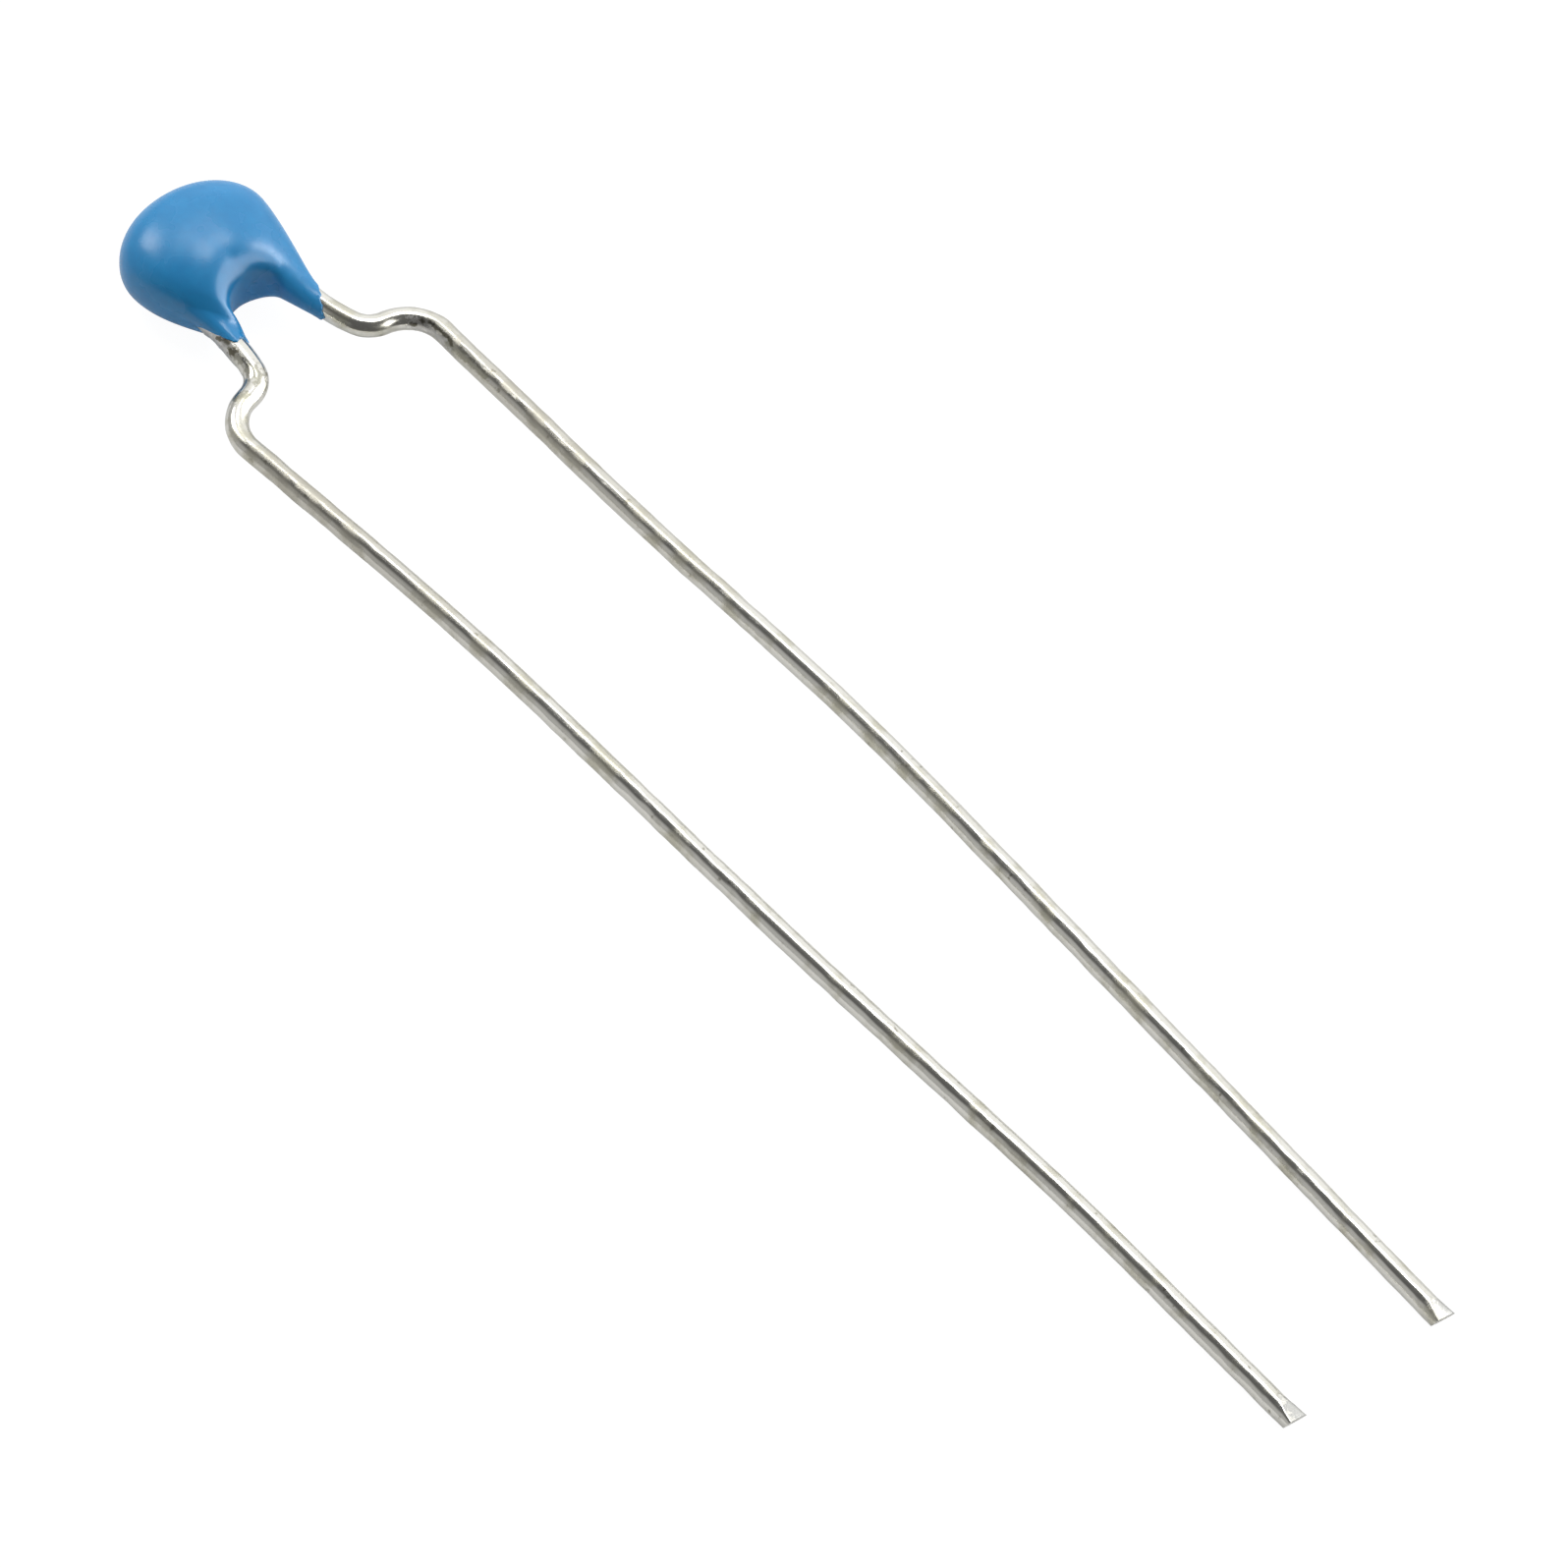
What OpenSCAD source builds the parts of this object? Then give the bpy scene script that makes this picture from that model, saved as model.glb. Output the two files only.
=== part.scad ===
// Radial-lead multilayer ceramic capacitor.
//
// A ceramic chip with interleaved electrode plates is capped at both ends and soldered
// between two tinned wires. The whole is dipped in blue epoxy, which hugs the wires in two
// short legs. Both wires are kinked outwards below the legs, and have been bent a little.
//
// The wires lie in one plane, the wire plane, and the part is drawn in it first: the origin
// is the chip's centre, X runs along the wires to their tips, Y from the left wire to the
// right one, and Z through the chip's layers. settle() then lays the part down, so that it
// rests on the belly of its coating and on both wire tips. All sizes are in millimetres.

/* [Ceramic chip] */
// Length of the chip between its two end faces, with the terminations
chip_length = 1.57; // [1.4:0.01:1.75]
// Width of the chip along the wires
chip_width = 0.8; // [0.7:0.05:1.0]
// Height of the chip through its layers
chip_height = 0.8; // [0.7:0.05:1.0]
// Chamfer that tumbling leaves on the edges of the ceramic
chip_chamfer = 0.05; // [0.02:0.01:0.07]

/* [Electrode plates] */
// Number of plates that reach each end face
plates_per_side = 8; // [2:1:8]
// Thickness of one plate
plate_thickness = 0.012; // [0.006:0.002:0.02]
// Ceramic above the top plate, and below the bottom one
cover_layer = 0.07; // [0.04:0.01:0.12]
// Ceramic beside the plates, along the chip's width
side_margin = 0.1; // [0.08:0.01:0.15]
// Ceramic between the free end of a plate and the end face that it stays clear of
end_margin = 0.22; // [0.1:0.02:0.4]

/* [End terminations] */
// Wall of a termination
termination_wall = 0.03; // [0.02:0.005:0.05]
// How far a termination wraps along the chip from its end face
termination_band = 0.32; // [0.2:0.02:0.45]

/* [Solder joints] */
// Solder between a wire and the chip's end face
solder_gap = 0.015; // [0.01:0.005:0.03]
// Solder around a wire
solder_film = 0.07; // [0.05:0.01:0.1]
// Length of a joint along the wire
solder_length = 0.64; // [0.4:0.02:0.64]
// Height of a joint's foot on the end face
solder_foot = 0.6; // [0.5:0.02:0.6]
// Height of that foot where it meets the round of the wire
solder_neck = 0.5; // [0.4:0.02:0.54]

/* [Both wires] */
// Diameter of the wire
wire_diameter = 0.5; // [0.4:0.02:0.56]
// How far a wire reaches past the chip, towards the dome
wire_tail = 0.15; // [0.05:0.05:0.3]
// Where the wires begin to splay, from the chip's centre
splay_start = 2.3; // [2.1:0.05:2.6]
// Centreline radius of the splay
splay_radius = 3.7; // [3:0.1:5]
// Centreline radius of the outward bend of a kink
kink_out_radius = 0.68; // [0.6:0.02:0.9]
// Centreline radius of the bend that turns a kink back
kink_back_radius = 1.03; // [0.9:0.02:1.3]
// Centreline radius of the faint bends along the straight part
sway_radius = 78; // [60:1:120]

/* [Left wire] */
// Splay, in degrees outwards
left_splay = 15; // [8:1:22]
// Outward bend of the kink, in degrees
left_kink_out = 65; // [50:1:70]
// Bend that turns the kink back, in degrees
left_kink_back = 84; // [70:1:88]
// Straight run below the kink
left_run_1 = 4.25; // [3:0.05:6]
// First faint bend, in degrees outwards
left_sway_1 = 3.7; // [0.5:0.1:5]
// Run after it
left_run_2 = 7; // [5:0.5:9]
// Second faint bend, in degrees inwards
left_sway_2 = 1.3; // [0.5:0.1:3]
// Run after it
left_run_3 = 6.2; // [4:0.1:8]
// Third faint bend, in degrees outwards
left_sway_3 = 2.4; // [0.5:0.1:4]
// Straight run to the tip
left_end_run = 5.27; // [4:0.01:8]

/* [Right wire] */
// Splay, in degrees outwards
right_splay = 21; // [12:1:26]
// Outward bend of the kink, in degrees
right_kink_out = 58; // [45:1:65]
// Bend that turns the kink back, in degrees
right_kink_back = 79; // [65:1:85]
// Straight run below the kink
right_run_1 = 5.5; // [4:0.1:7]
// First faint bend, in degrees outwards
right_sway_1 = 1.9; // [0.5:0.1:3]
// Run after it
right_run_2 = 2.65; // [2:0.05:4]
// Second faint bend, in degrees inwards
right_sway_2 = 4.15; // [2:0.05:5]
// Straight run to the tip
right_end_run = 16.25; // [12:0.05:20]

/* [Wire tips] */
// Length of the bevel that the cutter leaves on a tip
tip_bevel_length = 0.45; // [0.2:0.05:0.6]
// Depth of that bevel at the very end
tip_bevel_depth = 0.2; // [0.1:0.02:0.3]
// Lean of the bevel about the wire, towards the right
tip_bevel_lean = 30; // [0:5:45]

/* [Coating body] */
// Width across both shoulders
coat_width = 3.63; // [3.4:0.01:4.2]
// Thickness through the belly
coat_thickness = 1.91; // [1.7:0.01:2.5]
// Top of the dome, from the chip's centre
dome_reach = 1.47; // [1.3:0.01:1.8]
// Widest level, from the chip's centre towards the dome
shoulder_offset = 0.13; // [0:0.01:0.3]
// How straight the flanks leave the shoulders
flank_pull = 0.83; // [0.6:0.01:1.3]
// How square the cross-sections are on the outline's side: 2 is an ellipse
outer_fullness = 2.5; // [2:0.05:2.8]
// How square they are on the crotch's side
inner_fullness = 2.7; // [2:0.05:3.2]

/* [Coating crotch] */
// Apex of the arch between the legs, from the chip's centre
crotch_reach = 1.5; // [1.3:0.01:1.7]
// Depth from the apex to where the arch is widest
crotch_depth = 0.51; // [0.2:0.01:0.7]
// Widest clear width of the arch
crotch_width = 1.27; // [1:0.01:1.3]
// How straight the arch leaves that level
crotch_pull = 0.23; // [0.1:0.01:0.5]

/* [Coating legs] */
// Coating left over the wire at the ends of the legs
coat_film = 0.04; // [0.03:0.01:0.08]
// Where the left leg ends on its outer side, from the chip's centre
left_leg_outer = 1.56; // [1.4:0.02:2]
// Where the left leg ends on its inner side
left_leg_inner = 2.6; // [2.3:0.05:2.8]
// Where the right leg ends on its outer side
right_leg_outer = 2.35; // [2:0.05:2.6]
// Where the right leg ends on its inner side
right_leg_inner = 3.05; // [2.8:0.05:3.15]
// How straight the outline runs into a leg's end
outer_ankle_pull = 0.29; // [0.1:0.01:0.4]
// How straight the arch runs into a leg's end
inner_ankle_pull = 0.15; // [0.1:0.01:0.4]

/* [Hidden] */
LEFT = -1;
RIGHT = 1;
$fn = 64;
cut = 1; // extra size of a cutting tool

wire_r = wire_diameter / 2;
wire_y = chip_length / 2 + solder_gap + wire_r;
wire_start = -chip_width / 2 - wire_tail;
ring_length = 0.02;
ring_proud = 0.002;

ceramic_size = [chip_width, chip_length, chip_height] - 2 * termination_wall * [1, 1, 1];
chip_size = [chip_width, chip_length, chip_height];
// A chamfer this wide keeps the wall even over the ceramic's own chamfer
termination_chamfer = chip_chamfer + (2 - sqrt(2)) * termination_wall;

plate_count = 2 * plates_per_side;
plate_pitch = (ceramic_size.z - 2 * cover_layer - plate_thickness) / (plate_count - 1);

// Each bend is [straight run before it, turn outwards in degrees, centreline radius]
left_bends = [
    [splay_start - wire_start, left_splay, splay_radius],
    [0, left_kink_out, kink_out_radius],
    [0, -left_kink_back, kink_back_radius],
    [left_run_1, left_sway_1, sway_radius],
    [left_run_2, -left_sway_2, sway_radius],
    [left_run_3, left_sway_3, sway_radius],
    [left_end_run, 0, 0]
];
right_bends = [
    [splay_start - wire_start, right_splay, splay_radius],
    [0, right_kink_out, kink_out_radius],
    [0, -right_kink_back, kink_back_radius],
    [right_run_1, right_sway_1, sway_radius],
    [right_run_2, -right_sway_2, sway_radius],
    [right_end_run, 0, 0]
];

// ---- Path of a wire -------------------------------------------------------------------

function along(heading) = [cos(heading), sin(heading)];
function outward(heading) = [-sin(heading), cos(heading)];

// End point of a bend that starts at p
function bend_end(p, heading, turn, radius) =
    turn == 0 ? p :
    let(r = sign(turn) * radius)
    p + r * outward(heading) - r * outward(heading + turn);

// One [start, heading, bend start, bend end] for each bend, with Y counted outwards
function stations(bends, i = 0, p = [wire_start, wire_y], heading = 0) =
    i == len(bends) ? [] :
    let(bend = bends[i],
        q = p + bend[0] * along(heading),
        e = bend_end(q, heading, bend[1], bend[2]))
    concat([[p, heading, q, e]], stations(bends, i + 1, e, heading + bend[1]));

// Furthest outward point of a wire's surface: a bend peaks where its heading passes zero
function wire_reach(bends) =
    let(steps = stations(bends))
    wire_r + max([for (i = [0 : len(bends) - 1])
        let(s = steps[i], turn = bends[i][1])
        s[1] > 0 && s[1] + turn < 0
            ? s[2].y + bends[i][2] * (1 - cos(s[1]))
            : s[3].y]);

function tip_of(bends) = stations(bends)[len(bends) - 1][3];
function tip_heading(bends) = stations(bends)[len(bends) - 1][1];

// ---- Where the part comes to rest -----------------------------------------------------

left_tip = tip_of(left_bends);
right_tip = tip_of(right_bends);
tip_x = max(left_tip.x, right_tip.x);
belly_x = (crotch_reach - dome_reach) / 2;
rest_tilt = atan((coat_thickness / 2 - wire_r) / (tip_x - belly_x));
rest_lift = coat_thickness / 2 * cos(rest_tilt) + belly_x * sin(rest_tilt);
rest_middle_x = (tip_x - dome_reach) / 2 * cos(rest_tilt);
rest_middle_y = (wire_reach(right_bends) - wire_reach(left_bends)) / 2;

// Lays the wire plane down, with the middle of the part's outline over the origin
module settle() {
    translate([-rest_middle_x, -rest_middle_y, rest_lift])
        rotate([0, rest_tilt, 0])
            children();
}

// ---- Chip -----------------------------------------------------------------------------

// An octagonal profile: a rectangle with its corners cut off
module chamfered_profile(size, chamfer) {
    x = size.x / 2;
    y = size.y / 2;
    polygon([
        [-x + chamfer, -y], [x - chamfer, -y], [x, -y + chamfer], [x, y - chamfer],
        [x - chamfer, y], [-x + chamfer, y], [-x, y - chamfer], [-x, -y + chamfer]
    ]);
}

// A block with all twelve edges chamfered
module chamfered_block(size, chamfer) {
    intersection() {
        linear_extrude(size.z, center = true)
            chamfered_profile([size.x, size.y], chamfer);
        rotate([90, 0, 0])
            linear_extrude(size.y, center = true)
                chamfered_profile([size.x, size.z], chamfer);
        rotate([90, 0, 90])
            linear_extrude(size.x, center = true)
                chamfered_profile([size.y, size.z], chamfer);
    }
}

// One electrode plate. Plates of the two sides take turns up the chip.
module plate(side, index) {
    level = 2 * (index - 1) + (side == LEFT ? 0 : 1);
    size = [ceramic_size.x - 2 * side_margin, ceramic_size.y - end_margin, plate_thickness];
    translate([
        -size.x / 2,
        side == LEFT ? -ceramic_size.y / 2 : ceramic_size.y / 2 - size.y,
        cover_layer - ceramic_size.z / 2 + level * plate_pitch
    ])
        cube(size);
}

module electrode_plate(side, index) {
    color("dimgray")
        settle()
            plate(side, index);
}

module ceramic_block() {
    color("peru")
        settle()
            difference() {
                chamfered_block(ceramic_size, chip_chamfer);
                for (side = [LEFT, RIGHT], index = [1 : plates_per_side])
                    plate(side, index);
            }
}

// The space that one end of the chip takes up, its termination included
module chip_end(side) {
    intersection() {
        chamfered_block(chip_size, termination_chamfer);
        translate([0, side * (chip_length - termination_band) / 2, 0])
            cube([chip_width + cut, termination_band, chip_height + cut], center = true);
    }
}

module end_termination(side) {
    color("lightgray")
        settle()
            difference() {
                chip_end(side);
                chamfered_block(ceramic_size, chip_chamfer);
            }
}

// ---- Wires ----------------------------------------------------------------------------

// A ring a hair proud of the wire, which joins two stretches of it as one solid
module joining_ring(p, heading) {
    translate(p)
        rotate([0, 90, heading])
            cylinder(h = ring_length, r = wire_r + ring_proud, center = true);
}

// One bend of a wire: the straight run, then the turn, with a ring at each end of the turn
module wire_stretch(station, bend) {
    heading = station[1];
    run = bend[0];
    turn = bend[1];
    if (run > 0)
        translate(station[0])
            rotate([0, 90, heading])
                cylinder(h = run, r = wire_r);
    if (turn != 0) {
        translate(station[2] + sign(turn) * bend[2] * outward(heading))
            rotate([0, 0, turn > 0 ? heading - 90 : heading + turn + 90])
                rotate_extrude(angle = abs(turn))
                    translate([bend[2], 0])
                        circle(r = wire_r);
        if (run > 0)
            joining_ring(station[2], heading);
        joining_ring(station[3], heading + turn);
    }
}

// A whole wire with a square end. The left wire's bends are mirrored over to its side.
module wire(side) {
    bends = side == LEFT ? left_bends : right_bends;
    steps = stations(bends);
    mirror([0, side == LEFT ? 1 : 0, 0])
        union() {
            for (i = [0 : len(bends) - 1])
                wire_stretch(steps[i], bends[i]);
        }
}

// What the cutter takes off the upper side of a wire's tip
module tip_bevel(side) {
    bends = side == LEFT ? left_bends : right_bends;
    tip = tip_of(bends);
    slope = atan(tip_bevel_depth / tip_bevel_length);
    translate([tip.x, side * tip.y, 0])
        rotate([0, 0, side * tip_heading(bends)])
            rotate([-tip_bevel_lean, 0, 0])
                translate([0, 0, wire_r - tip_bevel_depth])
                    rotate([0, slope, 0])
                        translate([-cut, -cut / 2, 0])
                            cube([2 * cut, cut, cut]);
}

module lead_wire(side) {
    color("silver")
        settle()
            difference() {
                wire(side);
                tip_bevel(side);
            }
}

// ---- Solder ---------------------------------------------------------------------------

// The outer form of a joint: a collar round the wire on a foot against the end face
module solder_form(side) {
    face_y = chip_length / 2;
    mirror([0, side == LEFT ? 1 : 0, 0])
        difference() {
            translate([-solder_length / 2, 0, 0])
                union() {
                    translate([0, wire_y, 0])
                        rotate([0, 90, 0])
                            cylinder(h = solder_length, r = wire_r + solder_film);
                    rotate([90, 0, 90])
                        linear_extrude(solder_length)
                            polygon([
                                [face_y, -solder_foot / 2], [wire_y, -solder_neck / 2],
                                [wire_y, solder_neck / 2], [face_y, solder_foot / 2]
                            ]);
                }
            translate([-cut, face_y - cut, -cut])
                cube([2 * cut, cut, 2 * cut]);
        }
}

module solder_joint(side) {
    color("gainsboro")
        settle()
            difference() {
                solder_form(side);
                wire(side);
            }
}

// ---- Coating --------------------------------------------------------------------------
//
// The coating is one skin lofted along an arch: from the end of the left leg, up the leg,
// over the dome, and down the right leg. u is 0 at the top of the dome and 1 at a leg's end.
// Each section is a rounded oval that spans from the crotch's edge to the outline's edge.

coat_sections = 32; // sections from the dome's top to a leg's end
coat_points = 40; // points round a section
thin_from = 0.05; // u at which the body begins to thin down towards the legs
round_from = 0.15; // u at which the sections begin to round off towards the legs

// Wire centreline near a leg's end, where it is straight or on its splay: [point, heading]
function wire_near(side, x) =
    let(splay = x > splay_start ? asin((x - splay_start) / splay_radius) : 0)
    [[x, side * (wire_y + splay_radius * (1 - cos(splay)))], side * splay];

// A point on the coating's skin at a leg's end, on its outer (1) or inner (-1) side
function ankle(side, x, which) =
    let(near = wire_near(side, x))
    near[0] + which * side * (wire_r + coat_film) * outward(near[1]);

function bezier(p, t) =
    pow(1 - t, 3) * p[0] + 3 * pow(1 - t, 2) * t * p[1]
    + 3 * (1 - t) * t * t * p[2] + pow(t, 3) * p[3];

// An edge of the coating: a quarter ellipse from the top to the widest level, then a curve
// that leaves along the wire and runs into the leg's end. The two share u out between them
// so that the pace along the edge is even where they meet.
function edge(side, u, top_x, wide_x, half_width, pull, end, end_heading, end_pull) =
    let(ellipse_pace = PI / 2 * abs(wide_x - top_x),
        widest_u = ellipse_pace / (ellipse_pace + 3 * pull))
    u <= widest_u
        ? let(angle = 90 * u / widest_u)
            [wide_x + (top_x - wide_x) * cos(angle), side * half_width * sin(angle)]
        : bezier([
            [wide_x, side * half_width],
            [wide_x + pull, side * half_width],
            end - end_pull * along(end_heading),
            end
        ], (u - widest_u) / (1 - widest_u));

function outline_edge(side, u) =
    let(x = side == LEFT ? left_leg_outer : right_leg_outer)
    edge(side, u, -dome_reach, -shoulder_offset, coat_width / 2, flank_pull,
        ankle(side, x, 1), wire_near(side, x)[1], outer_ankle_pull);

function crotch_edge(side, u) =
    let(x = side == LEFT ? left_leg_inner : right_leg_inner)
    edge(side, u, crotch_reach, crotch_reach + crotch_depth, crotch_width / 2, crotch_pull,
        ankle(side, x, -1), wire_near(side, x)[1], inner_ankle_pull);

function mix(a, b, t) = a + (b - a) * t;

// Rises smoothly from 0 where u is at its start to 1 at a leg's end
function rise(u, start) =
    let(t = max(0, (u - start) / (1 - start)))
    t * t * (3 - 2 * t);

// A point of an oval of unit half widths: 2 is a circle and more is squarer
function oval(angle, fullness) =
    [cos(angle), sin(angle)]
        / pow(pow(abs(cos(angle)), fullness) + pow(abs(sin(angle)), fullness), 1 / fullness);

// One section: its ends are on the two edges, and it thins down from the belly to the film
// on the wire
function coat_section(side, u) =
    let(outer = outline_edge(side, u),
        inner = crotch_edge(side, u),
        half = mix(coat_thickness / 2, wire_r + coat_film, rise(u, thin_from)))
    [for (k = [0 : coat_points - 1])
        let(angle = 360 * k / coat_points,
            fullness = mix(cos(angle) > 0 ? outer_fullness : inner_fullness, 2,
                rise(u, round_from)),
            spot = oval(angle, fullness),
            p = (outer + inner) / 2 + (outer - inner) / 2 * spot.x)
        [p.x, p.y, half * spot.y]];

module coat_skin() {
    last = 2 * coat_sections;
    points = [for (i = [-coat_sections : coat_sections])
        each coat_section(i < 0 ? LEFT : RIGHT, abs(i) / coat_sections)];
    at = function (i, k) i * coat_points + k % coat_points;
    walls = [for (i = [0 : last - 1], k = [0 : coat_points - 1])
        each [
            [at(i, k), at(i, k + 1), at(i + 1, k + 1)],
            [at(i, k), at(i + 1, k + 1), at(i + 1, k)]
        ]];
    left_end = [for (k = [coat_points - 1 : -1 : 0]) at(0, k)];
    right_end = [for (k = [0 : coat_points - 1]) at(last, k)];
    polyhedron(points, concat(walls, [left_end, right_end]), convexity = 6);
}

module coating() {
    color("steelblue")
        settle()
            difference() {
                coat_skin();
                chamfered_block(ceramic_size, chip_chamfer);
                for (side = [LEFT, RIGHT]) {
                    chip_end(side);
                    solder_form(side);
                    wire(side);
                }
            }
}

// ---- Nodes ----------------------------------------------------------------------------

coating();
lead_wire(LEFT);  // lead_wire_left
lead_wire(RIGHT);  // lead_wire_right
solder_joint(LEFT);  // solder_joint_left
solder_joint(RIGHT);  // solder_joint_right
end_termination(LEFT);  // end_termination_left
end_termination(RIGHT);  // end_termination_right
ceramic_block();
for (i = [1 : plates_per_side]) {
    electrode_plate(LEFT, i);
    electrode_plate(RIGHT, i);
}
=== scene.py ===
"""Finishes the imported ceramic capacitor: its epoxy skin, its tinned wires and the studio.

Shapes are worked out in the wire plane, in millimetres, as the part itself is drawn: the
origin is the chip's centre, X runs along the wires to their tips, Y from the left wire to
the right one, and Z through the coating's thickness. SETTLED then lays a finished mesh
down where the part rests, in metres.
"""

from math import asin, atan, copysign, cos, exp, pi, radians, sin

import bmesh
import bpy
from mathutils import Matrix, Vector, noise


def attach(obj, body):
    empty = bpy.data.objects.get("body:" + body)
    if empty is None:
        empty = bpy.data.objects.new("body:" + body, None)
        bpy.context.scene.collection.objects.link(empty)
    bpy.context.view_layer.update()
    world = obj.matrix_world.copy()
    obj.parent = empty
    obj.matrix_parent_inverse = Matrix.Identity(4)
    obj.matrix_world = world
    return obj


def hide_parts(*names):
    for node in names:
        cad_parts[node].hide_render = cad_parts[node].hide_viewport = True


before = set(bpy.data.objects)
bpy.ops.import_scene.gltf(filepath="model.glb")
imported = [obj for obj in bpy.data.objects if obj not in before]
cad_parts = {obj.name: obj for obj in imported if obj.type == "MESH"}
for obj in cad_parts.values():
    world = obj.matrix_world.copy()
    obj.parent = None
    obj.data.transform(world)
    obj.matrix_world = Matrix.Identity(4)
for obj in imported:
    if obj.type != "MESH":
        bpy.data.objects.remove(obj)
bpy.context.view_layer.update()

MM = 0.001
LEFT = -1
RIGHT = 1
SIDE_NAME = {LEFT: "left", RIGHT: "right"}

# ---- Sizes of the part, in millimetres ----------------------------------------------------

# Wires
WIRE_RADIUS = 0.25
WIRE_Y = 1.05
WIRE_START = -0.55
SPLAY_START = 2.3
SPLAY_RADIUS = 3.7
KINK_OUT_RADIUS = 0.68
KINK_BACK_RADIUS = 1.03
SWAY_RADIUS = 78

# Each bend is (straight run before it, turn outwards in degrees, centreline radius)
WIRE_BENDS = {
    LEFT: (
        (SPLAY_START - WIRE_START, 15, SPLAY_RADIUS),
        (0, 65, KINK_OUT_RADIUS),
        (0, -84, KINK_BACK_RADIUS),
        (4.25, 3.7, SWAY_RADIUS),
        (7, -1.3, SWAY_RADIUS),
        (6.2, 2.4, SWAY_RADIUS),
        (5.27, 0, 0),
    ),
    RIGHT: (
        (SPLAY_START - WIRE_START, 21, SPLAY_RADIUS),
        (0, 58, KINK_OUT_RADIUS),
        (0, -79, KINK_BACK_RADIUS),
        (5.5, 1.9, SWAY_RADIUS),
        (2.65, -4.15, SWAY_RADIUS),
        (16.25, 0, 0),
    ),
}

# Coating's outline
DOME_REACH = 1.47
SHOULDER_OFFSET = 0.13
COAT_WIDTH = 3.63
COAT_THICKNESS = 1.91
FLANK_PULL = 0.83
# How square a section is on each side: 2 is an ellipse
OUTER_FULLNESS = 2.5
INNER_FULLNESS = 3.2

# Crotch between the legs
CROTCH_REACH = 1.5
CROTCH_DEPTH = 0.51
CROTCH_WIDTH = 1.27
CROTCH_PULL = 0.23

# Legs, which end as a film on the wires
COAT_FILM = 0.04
LEG_OUTER = {LEFT: 1.56, RIGHT: 2.35}
LEG_INNER = {LEFT: 2.6, RIGHT: 3.05}
OUTER_ANKLE_PULL = 0.29
INNER_ANKLE_PULL = 0.15

# ---- Where the part comes to rest ---------------------------------------------------------


def wire_extent(side):
    """How far a wire goes, with Y counted outwards: (x of its tip, y of its far side)."""
    x, y, heading, reach = WIRE_START, WIRE_Y, 0, 0
    for run, turn, radius in WIRE_BENDS[side]:
        x += run * cos(heading)
        y += run * sin(heading)
        peak = y + radius * (1 - cos(heading))
        after = heading + radians(turn)
        swing = copysign(radius, turn)
        x += swing * (sin(after) - sin(heading))
        y += swing * (cos(heading) - cos(after))
        # A bend that turns back peaks where its heading passes zero
        reach = max(reach, peak if heading > 0 > after else y)
        heading = after
    return x, reach + WIRE_RADIUS


def rest_place():
    """Lays the wire plane down on the coating's belly and the wire tips, centred."""
    left_tip, left_reach = wire_extent(LEFT)
    right_tip, right_reach = wire_extent(RIGHT)
    tip_x = max(left_tip, right_tip)
    belly_x = (CROTCH_REACH - DOME_REACH) / 2
    tilt = atan((COAT_THICKNESS / 2 - WIRE_RADIUS) / (tip_x - belly_x))
    middle_x = (tip_x - DOME_REACH) / 2 * cos(tilt)
    middle_y = (right_reach - left_reach) / 2
    lift = COAT_THICKNESS / 2 * cos(tilt) + belly_x * sin(tilt)
    return Matrix.Translation((-middle_x, -middle_y, lift)) @ Matrix.Rotation(tilt, 4, "Y")


SETTLED = Matrix.Scale(MM, 4) @ rest_place()

# ---- Camera -------------------------------------------------------------------------------

CAMERA_AZIMUTH = -41.673  # degrees from +X
CAMERA_ELEVATION = 53.424
CAMERA_ROLL = 1.364
CAMERA_DISTANCE = 0.32
CAMERA_AIM = Vector((0.6442, 0.3815, 0.6042)) * MM
CAMERA_LENS = 350.08
CAMERA_NEAR = 0.01
CAMERA_FAR = 20
SENSOR_WIDTH = 36


def new_object(name, data):
    made = bpy.data.objects.new(name, data)
    bpy.context.collection.objects.link(made)
    return made


def stand_on_dome(thing, azimuth, elevation, distance, aim=(0, 0, 0), roll=0):
    """Stands a thing that faces down its own -Z on a dome round the point it looks at."""
    turn = (
        Matrix.Rotation(radians(azimuth + 90), 4, "Z")
        @ Matrix.Rotation(radians(90 - elevation), 4, "X")
        @ Matrix.Rotation(radians(roll), 4, "Z")
    )
    place = Vector(aim) + turn.to_3x3() @ Vector((0, 0, distance))
    thing.matrix_world = Matrix.Translation(place) @ turn


def set_camera():
    lens = bpy.data.cameras.new("studio_camera")
    lens.sensor_fit = "HORIZONTAL"
    lens.sensor_width = SENSOR_WIDTH
    lens.lens = CAMERA_LENS
    lens.clip_start = CAMERA_NEAR
    lens.clip_end = CAMERA_FAR
    camera = new_object("studio_camera", lens)
    stand_on_dome(
        camera, CAMERA_AZIMUTH, CAMERA_ELEVATION, CAMERA_DISTANCE, CAMERA_AIM, CAMERA_ROLL
    )
    bpy.context.scene.camera = camera


set_camera()

# ---- Mesh helpers -------------------------------------------------------------------------


def of_kind(geometry, kind):
    return [item for item in geometry if isinstance(item, kind)]


def ease(t):
    """Rises smoothly from 0 at 0 to 1 at 1, and stays level outside them."""
    t = min(1, max(0, t))
    return t * t * (3 - 2 * t)


def mix(start, end, t):
    return start + (end - start) * t


def lumps(spot, layers):
    """Layers of noise at a place, each (waves per millimetre, height), added up."""
    return sum(height * noise.noise(spot * waves) for waves, height in layers)


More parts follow.
